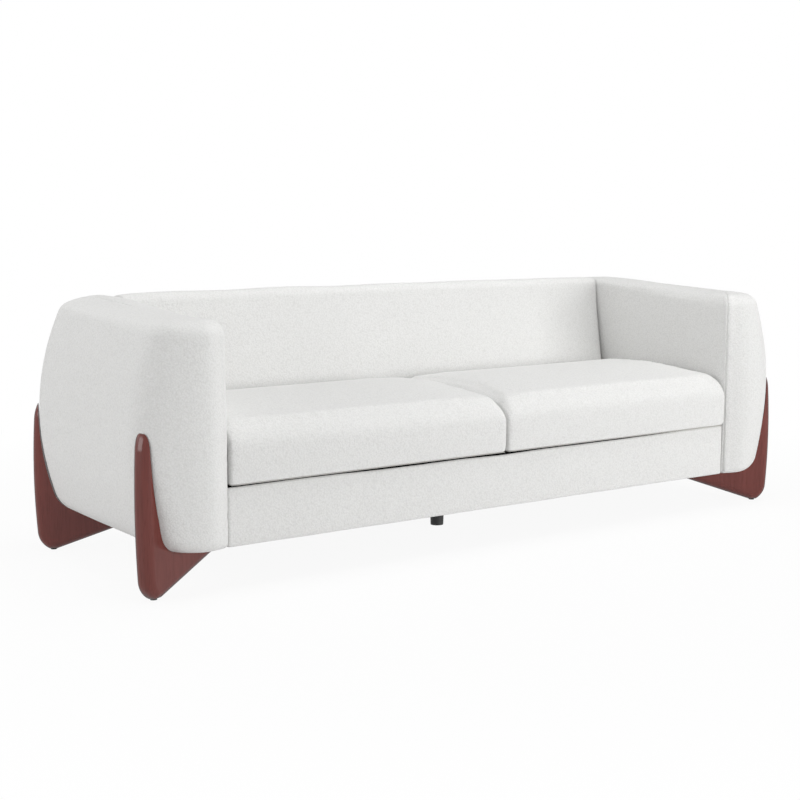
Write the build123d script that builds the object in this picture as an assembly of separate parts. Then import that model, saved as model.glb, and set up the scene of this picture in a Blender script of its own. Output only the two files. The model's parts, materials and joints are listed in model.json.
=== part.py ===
from build123d import *
from math import cos, radians, sin, sqrt, tan
import os

# Low upholstered sofa: two padded arms and a padded back on a wooden frame, two loose seat
# cushions, four curved wooden legs and a centre foot. Millimetres. X runs along the width,
# the sofa faces -Y, Z is up, and the origin is on the floor under the middle of the body.

# Upholstered body
body_width = 2300.0  # across the widest bulge of the arms
overall_depth = 872.0  # from the arm noses to the back
front_top_height = 708.0  # crown of the arm at its nose
rear_top_height = 733.0  # crown of the arm and back at the rear
underside_height = 114.0  # floor clearance under the body
arm_width = 236.0  # from the inner panel to the bulge
nose_radius = 150.0  # plan radius of the front of each arm
corner_radius = 165.0  # plan radius of each rear corner
bulge_drop = 25.5  # widest point of the sides below their middle
bulge_radius = 745.0  # how gently the sides bulge
shoulder_drop = 17.0  # fall of the crowned top to its outer shoulder
shoulder_radius = 55.0
hem_radius = 80.0  # where the sides turn under
arm_edge_radius = 22.0  # top inner edge of the arms
cover_thickness = 4.0  # fabric with its wadding
foam_thickness = 26.0  # padding between the cover and the frame

# Back
back_top_depth = 193.0  # from the face of the back to the rear, at the top
recline_angle = 12.0
back_edge_radius = 32.0  # top front edge of the back

# Seat base
rail_setback = 63.0  # front rail behind the arm noses
rail_top_height = 270.0
rail_edge_radius = 10.0
rail_padding = 12.0
rail_end_padding = 5.0
rail_wrap = 28.0  # how far the rail cover reaches back over and under the rail
rail_thickness = 40.0
board_thickness = 25.0
rail_board_top = 256.0
beam_height = 60.0
beam_width = 40.0
block_height = 40.0
block_width = 86.0
block_length = 122.0
deck_pad_top = 274.0
deck_cloth_thickness = 1.7
dust_cover_thickness = 1.5

# Springs
spring_count = 8
spring_end_gap = 101.5  # from a side rail to the nearest spring
spring_wire = 3.6
spring_bars = 21
spring_bar_length = 28.0
spring_height = 260.0
clip_width = 24.0
clip_length = 22.0
clip_height = 8.0
clip_inset = 13.0  # from a rail's edge to the wire in the clip

# Seat cushions
cushion_gap = 0.4  # under and behind each cushion
cushion_side_gap = 3.0
cushion_split = 1.5
cushion_overhang = 21.0  # cushion front ahead of the front rail
cushion_front_bulge = 8.0
cushion_front_height = 149.0
cushion_crown_height = 182.0
cushion_rear_height = 171.0
cushion_front_radius = 42.0
cushion_rear_radius = 18.0
cushion_end_radius = 14.0
cushion_cover_thickness = 3.0

# Arm frame
panel_gap = 8.0  # padding in front of the arm's inner panel
panel_thickness = 12.0
panel_front_reach = 14.0  # into the nose
frame_rear_reach = 19.0  # into the rear corner
sole_front_reach = 4.0
panel_drop = 68.0  # from the lowest crown to the top of the panel
sole_thickness = 30.0  # bottom board of arm and back
sole_inset = 120.0  # from the bulge of the arm
rib_thickness = 18.0
skin_thickness = 4.0
skin_bottom = 190.0
skin_inset = 100.0  # how far round the bulge the outer skin starts
top_rail_thickness = 20.0
top_rail_inset = 116.0  # from the bulge of the arm

# Back frame
back_sole_setback = 19.0  # behind the seat base
back_sole_inset = 116.0  # from the rear bulge
back_rail_clearance = 4.0  # behind the webbing face
back_rail_rear_clearance = 6.0  # inside the padding of the rear
back_rail_thickness = 25.0
back_rail_drop = 53.0  # below the crown
end_rib_thickness = 25.0
strap_thickness = 2.0
strap_width = 60.0
strap_count = 4
strap_bottom = 300.0
strap_top_gap = 25.0  # under the top rail

# Legs
leg_side_inset = 42.0  # foot inside the bulge of the arm
leg_end_inset = 102.0  # foot inside the front and rear of the body
leg_turn = 26.0  # plan angle of each leg from the long axis
leg_thickness = 52.0
leg_outer_reach = 49.5  # bulge of the outer edge beyond the foot
leg_edge_inset = 6.0  # the outer edge at the ankle and shoulder, inside its bulge
leg_ankle_height = 52.0
leg_bulge_height = 205.0
leg_shoulder_height = 385.0
leg_tip_height = 431.0
leg_tip_reach = 30.0
leg_length = 300.0  # from the foot to the inner end
leg_end_height = 12.0
leg_foot_rise = 3.0  # wood above the floor, on its glide
leg_foot_flat = 11.0
leg_edge_radius = 22.0
leg_spare = 30.0  # wood above the underside, cut away where the leg meets the body
glide_radius = 9.0
glide_pin_radius = 2.0
glide_pin_length = 14.0

# Centre foot
foot_radius = 20.0
foot_top_radius = 24.0
foot_y = -37.0
foot_bolt_length = 64.0
foot_bolt_sink = 26.0

# M8 fasteners
bolt_radius = 4.0
bolt_head_radius = 6.5
bolt_head_height = 5.3
washer_radius = 10.0
washer_thickness = 2.0
pocket_clearance = 2.0
thread_clearance = 0.05
hole_radius = 4.5
insert_radius = 6.0
insert_length = 15.0
bolt_engagement = 13.0
leg_bolt_outer = 120.0  # along the leg, from its foot
leg_bolt_inner = 262.0
nut_barrel_radius = 5.0
nut_barrel_length = 10.0
nut_flange_radius = 11.0
nut_flange_thickness = 1.5
bolt_tail = 3.0  # bolt showing past its nut
base_bolt_height = 217.0
base_bolt_front_gap = 82.0  # behind the front rail
base_bolt_rear_gap = 56.0  # ahead of the rear of the base
back_bolt_gap = 17.0  # ahead of the rear rib of the arm
back_bolt_heights = (290.0, 470.0)

# Worked out from the values above
bulge_height = (underside_height + rear_top_height) / 2 - bulge_drop
half_width = body_width / 2
front_y = -overall_depth / 2
rear_y = overall_depth / 2
arm_inner_x = half_width - arm_width
nose_x = half_width - nose_radius
nose_y = front_y + nose_radius
corner_x = half_width - corner_radius
corner_y = rear_y - corner_radius
core_inset = cover_thickness + foam_thickness
frame_bottom = underside_height + cover_thickness
rail_face_y = front_y + rail_setback
rail_board_front = rail_face_y + cover_thickness + rail_padding
rail_board_rear = rail_board_front + rail_thickness
wrap_y = rail_face_y + rail_wrap
seat_height = deck_pad_top + deck_cloth_thickness + cushion_gap
back_face_top_y = rear_y - back_top_depth


def back_face(height):
    """Y of the reclined face of the back at a height."""
    return back_face_top_y - (rear_top_height - height) * tan(radians(recline_angle))


base_rear = back_face(seat_height)
leg_foot_x = half_width - leg_side_inset
leg_foot_y = rear_y - leg_end_inset
panel_top = min(front_top_height, rear_top_height) - panel_drop
panel_front = nose_y - panel_front_reach
sole_front = nose_y - sole_front_reach
frame_rear = corner_y + frame_rear_reach
sole_outer = half_width - sole_inset
back_sole_front = base_rear + back_sole_setback
back_sole_rear = rear_y - back_sole_inset
back_rail_top = rear_top_height - back_rail_drop
back_rail_bottom = back_rail_top - back_rail_thickness
back_rail_front = back_face(back_rail_top) + core_inset / cos(radians(recline_angle)) + back_rail_clearance
strap_spacing = (back_rail_bottom - strap_top_gap - strap_width - strap_bottom) / (strap_count - 1)
panel_x = arm_inner_x + cover_thickness + panel_gap
sole_top = frame_bottom + sole_thickness
side_rail_inner = arm_inner_x - board_thickness
beam_spacing = side_rail_inner / 2
spring_spacing = 2 * (side_rail_inner - spring_end_gap) / (spring_count - 1)
base_bolt_front = rail_board_rear + base_bolt_front_gap
base_bolt_rear = base_rear - base_bolt_rear_gap
back_bolt_y = corner_y - rib_thickness - back_bolt_gap
beam_top = frame_bottom + beam_height
block_top = frame_bottom + block_height
foot_screw_top = frame_bottom - foot_bolt_sink + foot_bolt_length


def box(low, high):
    """A block between two opposite corners."""
    size = [b - a for a, b in zip(low, high)]
    return Pos(*low) * Box(*size, align=(Align.MIN, Align.MIN, Align.MIN))


def rod(start, direction, radius, length):
    """A straight round bar from a point."""
    plane = Plane(origin=start, z_dir=direction)
    return plane * Cylinder(radius, length, align=(Align.CENTER, Align.CENTER, Align.MIN))


def mirrored(shape):
    return mirror(shape, about=Plane.YZ)


def side_reach(height):
    """Reach of the long arc that bulges down the side, 0 at the bulge."""
    return sqrt(bulge_radius**2 - (height - bulge_height) ** 2) - bulge_radius


def section(inner_points, apex, inner_radius, inset):
    """Section of the padded body, outward to 0 at the bulge, with height as its second axis.

    The inner points run from the underside up to the top. From its apex a crown falls to the
    shoulder, a long arc bulges down the side, and the hem turns under. The inset moves it all in.
    """
    top = inner_points[-1][1]
    shoulder = (side_reach(top - shoulder_drop), top - shoulder_drop)
    hem = (side_reach(underside_height), underside_height)
    run = apex + shoulder[0]
    crown_radius = (run**2 + shoulder_drop**2) / (2 * shoulder_drop)
    block = make_face(Polyline(*inner_points, (arm_width, top), (arm_width, underside_height), close=True))
    bulge = Pos(-bulge_radius, bulge_height) * Circle(bulge_radius - inset)
    crown_centre = top - crown_radius
    crown = Pos(-apex, crown_centre) * Circle(crown_radius - inset)
    crown += Pos(0, crown_centre / 2) * Rectangle(2 * overall_depth, crown_centre)
    crown += Pos(-apex - overall_depth / 2, top / 2) * Rectangle(overall_depth, top)
    face = (offset(block, amount=-inset) if inset else block) & bulge & crown
    for point, radius in (
        (shoulder, shoulder_radius),
        (hem, hem_radius),
        (inner_points[-1], inner_radius),
    ):
        if radius > inset:
            corner = face.vertices().sort_by_distance((*point, 0))[0]
            face = fillet(corner, radius - inset)
    return face


def outside(face, depth):
    """The part of a section within a depth of the bulge."""
    reach = 2 * depth
    return face & (Pos(-depth + reach / 2, bulge_height) * Rectangle(reach, 2 * rear_top_height))


def arm_volume(inset):
    """The right arm's body, every surface moved in by the inset."""

    def arm_section(top, apex):
        points = ((-arm_width, underside_height), (-arm_width, top))
        return section(points, apex, arm_edge_radius, inset)

    front = arm_section(front_top_height, nose_radius)
    rear = arm_section(rear_top_height, corner_radius)
    front_plane = Plane(origin=(half_width, nose_y, 0), x_dir=(1, 0, 0), z_dir=(0, -1, 0))
    rear_plane = Plane(origin=(half_width, corner_y, 0), x_dir=(1, 0, 0), z_dir=(0, -1, 0))
    run_plane = Plane(origin=(corner_x, rear_y, 0), x_dir=(0, 1, 0), z_dir=(1, 0, 0))
    straight = loft([front_plane * front, rear_plane * rear], ruled=True)
    nose = revolve(front_plane * outside(front, nose_radius), Axis((nose_x, nose_y, 0), (0, 0, -1)), 180)
    corner_axis = Axis((corner_x, corner_y, 0), (0, 0, 1))
    corner = revolve(rear_plane * outside(rear, corner_radius), corner_axis, 90)
    run = extrude(run_plane * outside(rear, corner_radius), -(corner_x - arm_inner_x - inset))
    keep = box((arm_inner_x + inset, 2 * front_y, 0), (2 * half_width, 2 * rear_y, 2 * rear_top_height))
    return (straight + corner + run + nose) & keep


def back_volume(inset, half_length):
    """The back's body, its section moved in by the inset and its ends cut at half_length."""
    foot = base_rear - rear_y
    points = ((foot, underside_height), (foot, seat_height), (-back_top_depth, rear_top_height))
    plane = Plane(origin=(-half_length, rear_y, 0), x_dir=(0, 1, 0), z_dir=(1, 0, 0))
    return extrude(plane * section(points, corner_radius, back_edge_radius, inset), 2 * half_length)


def mirrored_pair(name, shape):
    """The right piece and its mirror image on the left."""
    return {f"{name}_right": shape, f"{name}_left": mirrored(shape)}


def arm_pieces():
    """Cover, padding, foam cores and wooden frame of both arms."""
    body = arm_volume(0)
    under_cover = arm_volume(cover_thickness)
    core = arm_volume(core_inset)
    frame_space = box((panel_x, panel_front, frame_bottom), (sole_outer, frame_rear, panel_top))
    cavity = core + (frame_space & under_cover)
    panel = box((panel_x, panel_front, sole_top), (panel_x + panel_thickness, frame_rear, panel_top))
    sole = under_cover & box(
        (panel_x, sole_front, frame_bottom),
        (sole_outer, frame_rear, sole_top),
    )
    rail_x = arm_inner_x + core_inset
    top_rail = box(
        (rail_x, nose_y, panel_top),
        (half_width - top_rail_inset, corner_y, panel_top + top_rail_thickness),
    )
    skin = (core - arm_volume(core_inset + skin_thickness)) & box(
        (half_width - skin_inset, nose_y, skin_bottom), (half_width, corner_y, panel_top)
    )
    pocket_depth = washer_thickness + bolt_head_height + pocket_clearance
    pockets = [
        rod((x, y, sole_top), (0, 0, 1), washer_radius + pocket_clearance, pocket_depth)
        for x, y in leg_bolt_spots(leg_bolt_outer)
    ]
    ribs = []
    for rib_y in (nose_y, (nose_y + corner_y - rib_thickness) / 2, corner_y - rib_thickness):
        slab = box((arm_inner_x, rib_y, 0), (half_width, rib_y + rib_thickness, rear_top_height))
        ribs.append((cavity & slab) - panel - sole - top_rail - skin - pockets)
    nose_core = core & box((arm_inner_x, front_y, 0), (half_width, nose_y, rear_top_height))
    corner_core = core & box((arm_inner_x, corner_y, 0), (half_width, rear_y, rear_top_height))

    joint_holes = [
        rod((arm_inner_x, y, z), (1, 0, 0), hole_radius, panel_gap + cover_thickness)
        for y, z in arm_bolt_spots()
    ]
    nut_holes = [
        rod((panel_x, y, z), (1, 0, 0), nut_barrel_radius, panel_thickness)
        for y, z in arm_bolt_spots()
    ]
    sole_holes = [
        rod((x, y, underside_height), (0, 0, 1), hole_radius, sole_thickness + cover_thickness)
        for x, y in leg_bolt_spots(leg_bolt_outer)
    ]
    return {
        **mirrored_pair("arm_cover", body - under_cover - joint_holes - sole_holes),
        **mirrored_pair("arm_padding", under_cover - cavity - joint_holes),
        **mirrored_pair("arm_nose_foam", nose_core - panel - sole - pockets),
        **mirrored_pair("arm_corner_foam", corner_core - panel - sole - pockets),
        **mirrored_pair("arm_inner_panel", panel - nut_holes),
        **mirrored_pair("arm_sole_board", sole - sole_holes),
        **mirrored_pair("arm_top_rail", top_rail),
        **mirrored_pair("arm_outer_skin", skin),
        **mirrored_pair("arm_ribs", Compound(ribs)),
    }


def back_pieces():
    """Cover, padding and wooden frame of the back."""
    inner_half = arm_inner_x - cover_thickness
    body = back_volume(0, arm_inner_x)
    under_cover = back_volume(cover_thickness, inner_half)
    core = back_volume(core_inset, inner_half)
    sole = box((-inner_half, back_sole_front, frame_bottom), (inner_half, back_sole_rear, sole_top))
    cavity = core + sole
    rail_rear = rear_y + side_reach(back_rail_top) - core_inset - back_rail_rear_clearance
    rail = box(
        (-inner_half, back_rail_front, back_rail_bottom),
        (inner_half, rail_rear, back_rail_top),
    )
    face_layer = core - back_volume(core_inset + strap_thickness, inner_half)
    straps = []
    for i in range(strap_count):
        low = strap_bottom + i * strap_spacing
        band = box((-inner_half, 0, low), (inner_half, back_rail_front, low + strap_width))
        straps.append(face_layer & band)
    webbing = Compound(straps)
    ribs = []
    for left, thickness in (
        (-inner_half, end_rib_thickness),
        (-inner_half / 3 - rib_thickness / 2, rib_thickness),
        (inner_half / 3 - rib_thickness / 2, rib_thickness),
        (inner_half - end_rib_thickness, end_rib_thickness),
    ):
        slab = box((left, 0, 0), (left + thickness, rear_y, rear_top_height))
        ribs.append((cavity & slab) - sole - rail - straps - back_bolt_holes(hole_radius))
    sole_holes = [
        rod((side * x, -y, underside_height), (0, 0, 1), hole_radius, sole_thickness + cover_thickness)
        for side in (-1, 1)
        for x, y in leg_bolt_spots(leg_bolt_inner)
        if y < 0
    ]
    return {
        "back_cover": body - under_cover - back_bolt_holes(hole_radius) - sole_holes,
        "back_padding": under_cover - cavity,
        "back_ribs": Compound(ribs),
        "back_top_rail": rail,
        "back_sole_board": sole - sole_holes,
        "back_webbing": webbing,
    }


def back_bolt_holes(radius):
    """Holes across the end ribs of the back and the cover outside them."""
    reach = cover_thickness + end_rib_thickness
    return [
        rod((side * arm_inner_x, back_bolt_y, z), (-side, 0, 0), radius, reach)
        for side in (-1, 1)
        for z in back_bolt_heights
    ]


def arm_bolt_spots():
    """(y, z) of the bolts that hold an arm to the seat base and to the back."""
    return base_bolt_spots() + [(back_bolt_y, z) for z in back_bolt_heights]


def base_bolt_spots():
    """(y, z) of the bolts through a side rail of the seat base."""
    ys = (base_bolt_front, (base_bolt_front + base_bolt_rear) / 2, base_bolt_rear)
    return [(y, base_bolt_height) for y in ys]


def leg_bolt_spots(along):
    """(x, y) of the front and rear right leg bolts at a distance along the leg."""
    x = leg_foot_x - along * cos(radians(leg_turn))
    y = leg_foot_y - along * sin(radians(leg_turn))
    return [(x, -y), (x, y)]


def front_rail_pieces():
    """The front rail with its padding and cover."""
    low = (-arm_inner_x, rail_face_y, underside_height)
    high = (arm_inner_x, wrap_y, rail_top_height)
    shell = box(low, high)
    shell = fillet(shell.faces().sort_by(Axis.Y)[0].edges(), rail_edge_radius)
    hollow = box(
        (low[0] + cover_thickness, low[1] + cover_thickness, low[2] + cover_thickness),
        (high[0] - cover_thickness, high[1], high[2] - cover_thickness),
    )
    hollow = fillet(hollow.faces().sort_by(Axis.Y)[0].edges(), rail_edge_radius - cover_thickness)
    board_half = arm_inner_x - cover_thickness - rail_end_padding
    board = box(
        (-board_half, rail_board_front, frame_bottom),
        (board_half, rail_board_rear, rail_board_top),
    )
    return {
        "front_rail_cover": shell - hollow,
        "front_rail_padding": hollow - board,
        "front_rail": board,
    }


def base_pieces():
    """The rest of the seat base: rails, beams, blocks, deck and dust cover."""
    side_rail = box(
        (side_rail_inner, rail_board_rear, frame_bottom),
        (arm_inner_x, base_rear, rail_board_top),
    )
    for y, z in base_bolt_spots():
        side_rail -= rod((side_rail_inner, y, z), (1, 0, 0), hole_radius, board_thickness)
    rear_rail = box(
        (-side_rail_inner, base_rear - board_thickness, frame_bottom),
        (side_rail_inner, base_rear, rail_board_top),
    )
    pieces = {**mirrored_pair("side_rail", side_rail), "rear_rail": rear_rail}
    for name, x in (("left", -beam_spacing), ("centre", 0), ("right", beam_spacing)):
        beam = box(
            (x - beam_width / 2, rail_board_rear, frame_bottom),
            (x + beam_width / 2, base_rear - board_thickness, beam_top),
        )
        pieces[f"cross_beam_{name}"] = beam
    pieces["cross_beam_centre"] -= foot_screw_hole()
    x, y = leg_bolt_spots(leg_bolt_inner)[0]
    block = box(
        (side_rail_inner - block_width, rail_board_rear, frame_bottom),
        (side_rail_inner, rail_board_rear + block_length, block_top),
    )
    block -= rod((x, y, frame_bottom), (0, 0, 1), hole_radius, block_height)
    pieces.update(mirrored_pair("corner_block", block))
    pad_bottom = rail_board_top + clip_height
    pieces["deck_pad"] = box((-arm_inner_x, wrap_y, pad_bottom), (arm_inner_x, base_rear, deck_pad_top))
    cloth_top = deck_pad_top + deck_cloth_thickness
    pieces["deck_cloth"] = box((-arm_inner_x, wrap_y, deck_pad_top), (arm_inner_x, base_rear, cloth_top))
    dust_cover = box(
        (-arm_inner_x, wrap_y, frame_bottom - dust_cover_thickness),
        (arm_inner_x, base_rear, frame_bottom),
    )
    for hole_x, hole_y in ((x, y), (-x, y), (0, foot_y)):
        dust_cover -= rod((hole_x, hole_y, underside_height), (0, 0, 1), hole_radius, cover_thickness)
    pieces["dust_cover"] = dust_cover
    return pieces


def spring_pieces():
    """Sinuous springs from the front rail to the rear rail, held in clips."""
    start, end = rail_board_rear - clip_inset, base_rear - clip_inset
    pitch = (end - start) / (spring_bars - 1)
    half = spring_bar_length / 2
    path = Curve()
    for i in range(spring_bars):
        side = -1 if i % 2 else 1
        y = start + i * pitch
        path += Line((-side * half, y), (side * half, y))
        if i < spring_bars - 1:
            turn = (side * (half + pitch / 2), y + pitch / 2)
            path += ThreePointArc((side * half, y), turn, (side * half, y + pitch))
    wire = sweep(Plane(origin=(-half, start, 0), z_dir=(1, 0, 0)) * Circle(spring_wire / 2), path=path)
    springs, clips = [], []
    for i in range(spring_count):
        x = (i - (spring_count - 1) / 2) * spring_spacing
        springs.append(Pos(x, 0, spring_height) * wire)
        for y in (start, end):
            clip = Pos(x, y, rail_board_top + clip_height / 2) * Box(clip_width, clip_length, clip_height)
            bar = rod((x - half, y, spring_height), (1, 0, 0), spring_wire / 2, spring_bar_length)
            clips.append(clip - bar)
    return {"sinuous_springs": Compound(springs), "spring_clips": Compound(clips)}


def cushion_body(inset, bottom):
    """The right seat cushion, its sides and crowned top moved in by the inset."""
    front = rail_face_y - cushion_overhang + inset
    face = front + cushion_front_bulge
    face_top = seat_height + cushion_front_height - inset
    crown = seat_height + cushion_crown_height - inset
    rear_top = seat_height + cushion_rear_height - inset
    rear_offset = cushion_gap + inset
    low = (face, bottom)
    high = (face, face_top)
    back_high = (back_face(rear_top) - rear_offset, rear_top)
    back_low = (back_face(bottom) - rear_offset, bottom)
    middle = (front + back_high[0]) / 2
    outline = ThreePointArc(low, (front, (seat_height + face_top) / 2), high)
    outline += ThreePointArc(high, (middle, crown), back_high)
    outline += Polyline(back_high, back_low, low)
    section_face = make_face(outline)
    for point, radius in ((high, cushion_front_radius), (back_high, cushion_rear_radius)):
        corner = section_face.vertices().sort_by_distance((*point, 0))[0]
        section_face = fillet(corner, radius - inset)
    start = cushion_split / 2 + inset
    length = arm_inner_x - cushion_side_gap - inset - start
    body = extrude(Plane(origin=(start, 0, 0), x_dir=(0, 1, 0), z_dir=(1, 0, 0)) * section_face, length)
    ends = body.faces().sort_by(Axis.X)
    edges = ends[0].edges() + ends[-1].edges()
    edges = edges.filter_by(lambda edge: edge.center().Z > bottom + cushion_gap)
    return fillet(edges, cushion_end_radius - inset)


def cushion_pieces():
    """Cover, underside panel and foam core of both seat cushions."""
    body = cushion_body(0, seat_height)
    hollow = cushion_body(cushion_cover_thickness, seat_height)
    panel_top_height = seat_height + cushion_cover_thickness
    lower = box((0, front_y, seat_height), (arm_inner_x, rear_y, panel_top_height))
    return {
        **mirrored_pair("cushion_cover", body - hollow),
        **mirrored_pair("cushion_underside", hollow & lower),
        **mirrored_pair("cushion_core", hollow - lower),
    }


def leg_slab():
    """The front right leg before the body is cut from it."""
    bulge = -leg_outer_reach
    edge = bulge + leg_edge_inset
    ankle = (edge, leg_ankle_height)
    shoulder = (edge, leg_shoulder_height)
    tip = (-leg_tip_reach, leg_tip_height)
    toe = (-leg_foot_flat, leg_foot_rise)
    spare_top = underside_height + leg_spare
    outer = ThreePointArc(ankle, (bulge, leg_bulge_height), shoulder)
    outline = outer + TangentArc(shoulder, tip, tangent=outer % 1)
    outline += Polyline(
        tip,
        (0, leg_tip_height),
        (leg_bolt_outer, spare_top),
        (leg_length, spare_top),
        (leg_length, underside_height - leg_end_height),
        (leg_foot_flat, leg_foot_rise),
        toe,
    )
    outline += TangentArc(ankle, toe, tangent=-(outer % 0))
    plane = Plane(
        origin=(leg_foot_x, -leg_foot_y, 0),
        x_dir=(-cos(radians(leg_turn)), sin(radians(leg_turn)), 0),
        z_dir=(sin(radians(leg_turn)), cos(radians(leg_turn)), 0),
    )
    slab = extrude(plane * make_face(outline), leg_thickness / 2, both=True)
    rims = [edge for edge in slab.edges() if abs((edge % 0.5).dot(plane.z_dir)) < 0.5]
    return fillet(rims, leg_edge_radius)


def leg_pieces():
    """Four legs with their glides, threaded inserts, bolts and washers."""
    base = box((0, front_y, underside_height), (arm_inner_x, rear_y, rear_top_height))
    leg = leg_slab() - arm_volume(0) - base
    inserts, bolts, washers = [], [], []
    bore = bolt_radius + thread_clearance
    for along, front_seat, rear_seat in (
        (leg_bolt_outer, sole_top, sole_top),
        (leg_bolt_inner, block_top, sole_top),
    ):
        for (x, y), seat in zip(leg_bolt_spots(along), (front_seat, rear_seat)):
            top = (x, y, underside_height)
            if y < 0:
                leg -= rod(top, (0, 0, -1), insert_radius, insert_length)
            sleeve = rod(top, (0, 0, -1), insert_radius, insert_length)
            inserts.append(sleeve - rod(top, (0, 0, -1), bore, insert_length))
            length = seat + washer_thickness - underside_height + bolt_engagement
            bolts.append(bolt((x, y, seat), (0, 0, -1), length))
            washers.append(washer((x, y, seat), (0, 0, -1)))
    pin = rod((leg_foot_x, -leg_foot_y, leg_foot_rise), (0, 0, 1), glide_pin_radius, glide_pin_length)
    glide = rod((leg_foot_x, -leg_foot_y, 0), (0, 0, 1), glide_radius, leg_foot_rise) + pin
    leg -= pin
    rear_leg = mirror(leg, about=Plane.XZ)
    glides = [glide, mirror(glide, about=Plane.XZ)]
    return {
        **mirrored_pair("front_leg", leg),
        **mirrored_pair("rear_leg", rear_leg),
        "leg_glides": both_sides(glides),
        "leg_inserts": both_sides(inserts),
        "leg_bolts": both_sides(bolts),
        "leg_washers": both_sides(washers),
    }


def both_sides(solids):
    """Right-hand solids and their mirror images, as one group."""
    return Compound([*solids, *(mirrored(solid) for solid in solids)])


def bolt(face, direction, length):
    """A cap screw on a washer that lies on a face, its shank along the direction."""
    start = Vector(*face) - Vector(*direction) * washer_thickness
    shank = rod(start, direction, bolt_radius, length)
    return shank + rod(start, Vector(*direction) * -1, bolt_head_radius, bolt_head_height)


def washer(face, direction):
    start = Vector(*face) - Vector(*direction) * washer_thickness
    ring = rod(start, direction, washer_radius, washer_thickness)
    return ring - rod(start, direction, hole_radius, washer_thickness)


def arm_joint_pieces():
    """Bolts from the seat base and the back into nuts in the arm panels."""
    bolts, washers, nuts = [], [], []
    nut_x = panel_x + panel_thickness
    back_face_x = arm_inner_x - cover_thickness - end_rib_thickness
    bore = bolt_radius + thread_clearance
    for y, z in arm_bolt_spots():
        seat_x = side_rail_inner if z == base_bolt_height else back_face_x
        length = nut_x + nut_flange_thickness + bolt_tail - seat_x + washer_thickness
        bolts.append(bolt((seat_x, y, z), (1, 0, 0), length))
        washers.append(washer((seat_x, y, z), (1, 0, 0)))
        nut = rod((nut_x, y, z), (-1, 0, 0), nut_barrel_radius, nut_barrel_length)
        nut += rod((nut_x, y, z), (1, 0, 0), nut_flange_radius, nut_flange_thickness)
        nut_length = nut_barrel_length + nut_flange_thickness
        nuts.append(nut - rod((nut_x - nut_barrel_length, y, z), (1, 0, 0), bore, nut_length))
    return {
        "arm_bolts": both_sides(bolts),
        "arm_bolt_washers": both_sides(washers),
        "arm_nuts": both_sides(nuts),
    }


def foot_screw_hole():
    """The screw's bore through the centre foot and into the middle beam."""
    start = (0, foot_y, foot_screw_top - foot_bolt_length)
    return rod(start, (0, 0, 1), bolt_radius + thread_clearance, foot_bolt_length)


def centre_foot_pieces():
    """The foot under the middle beam and the screw that holds it."""
    height = frame_bottom - dust_cover_thickness
    foot = Pos(0, foot_y, height / 2) * Cone(foot_radius, foot_top_radius, height)
    screw_start = (0, foot_y, foot_screw_top - foot_bolt_length)
    return {
        "centre_foot": foot - foot_screw_hole(),
        "centre_foot_screw": rod(screw_start, (0, 0, 1), bolt_radius, foot_bolt_length),
    }


os.makedirs("parts", exist_ok=True)
for make in (
    arm_pieces,
    back_pieces,
    front_rail_pieces,
    base_pieces,
    spring_pieces,
    cushion_pieces,
    leg_pieces,
    arm_joint_pieces,
    centre_foot_pieces,
):
    for node, shape in make().items():
        export_step(shape, f"parts/{node}.step")
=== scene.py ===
import json
import math

import bmesh
import bpy
import numpy as np
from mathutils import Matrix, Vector


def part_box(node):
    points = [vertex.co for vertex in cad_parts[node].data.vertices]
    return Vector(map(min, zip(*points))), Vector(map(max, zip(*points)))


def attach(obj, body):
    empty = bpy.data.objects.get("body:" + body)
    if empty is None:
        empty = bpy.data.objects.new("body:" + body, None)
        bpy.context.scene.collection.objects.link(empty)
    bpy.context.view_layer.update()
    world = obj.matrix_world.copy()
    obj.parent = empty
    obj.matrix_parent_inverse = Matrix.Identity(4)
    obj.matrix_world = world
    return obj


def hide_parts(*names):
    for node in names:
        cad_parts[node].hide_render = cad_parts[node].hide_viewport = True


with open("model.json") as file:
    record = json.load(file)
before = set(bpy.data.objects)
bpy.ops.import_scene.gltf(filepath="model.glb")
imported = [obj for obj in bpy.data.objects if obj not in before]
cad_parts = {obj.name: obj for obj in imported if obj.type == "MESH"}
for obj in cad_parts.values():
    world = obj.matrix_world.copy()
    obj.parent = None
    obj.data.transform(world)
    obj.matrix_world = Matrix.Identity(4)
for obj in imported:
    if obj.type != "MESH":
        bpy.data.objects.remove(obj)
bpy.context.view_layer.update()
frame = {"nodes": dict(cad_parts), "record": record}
nodes = frame["nodes"]
scene = bpy.context.scene
print("frame loaded:", len(nodes), "CAD nodes")

seamSpread = 0.004  # a sewn groove shows this far to each side
mergeDistance = 1e-6


def placeMesh(name, points, body, seam=None, faces=None):
    # a new piece at the origin that rides on a body: a closed tube unless faces are given; seam holds each point's
    # distance from a seam
    if faces is None:
        faces = tubeFaces(*points.shape[:2])
    mesh = bpy.data.meshes.new(name)
    mesh.from_pydata(points.reshape(-1, 3).tolist(), [], faces)
    mesh.update()
    piece = bpy.data.objects.new(name, mesh)
    scene.collection.objects.link(piece)
    if seam is not None:
        writeSeam(mesh, seam.reshape(-1))
    tidyMesh(mesh)
    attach(piece, body)
    return piece


def writeSeam(mesh, distance):
    # 1 on a seam, falling evenly to 0 at the end of its spread
    layer = mesh.attributes.new("seamNearness", "FLOAT", "POINT")
    layer.data.foreach_set("value", np.clip(1 - distance / seamSpread, 0, 1).astype(np.float32))


def tidyMesh(mesh):
    # doubles merged, faces turned outwards, everything shaded smooth
    work = bmesh.new()
    work.from_mesh(mesh)
    bmesh.ops.remove_doubles(work, verts=work.verts, dist=mergeDistance)
    bmesh.ops.triangulate(work, faces=[f for f in work.faces if len(f.verts) > 4])
    bmesh.ops.recalc_face_normals(work, faces=work.faces)
    work.to_mesh(mesh)
    work.free()
    mesh.polygons.foreach_set("use_smooth", np.ones(len(mesh.polygons), bool))
    mesh.update()


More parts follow.
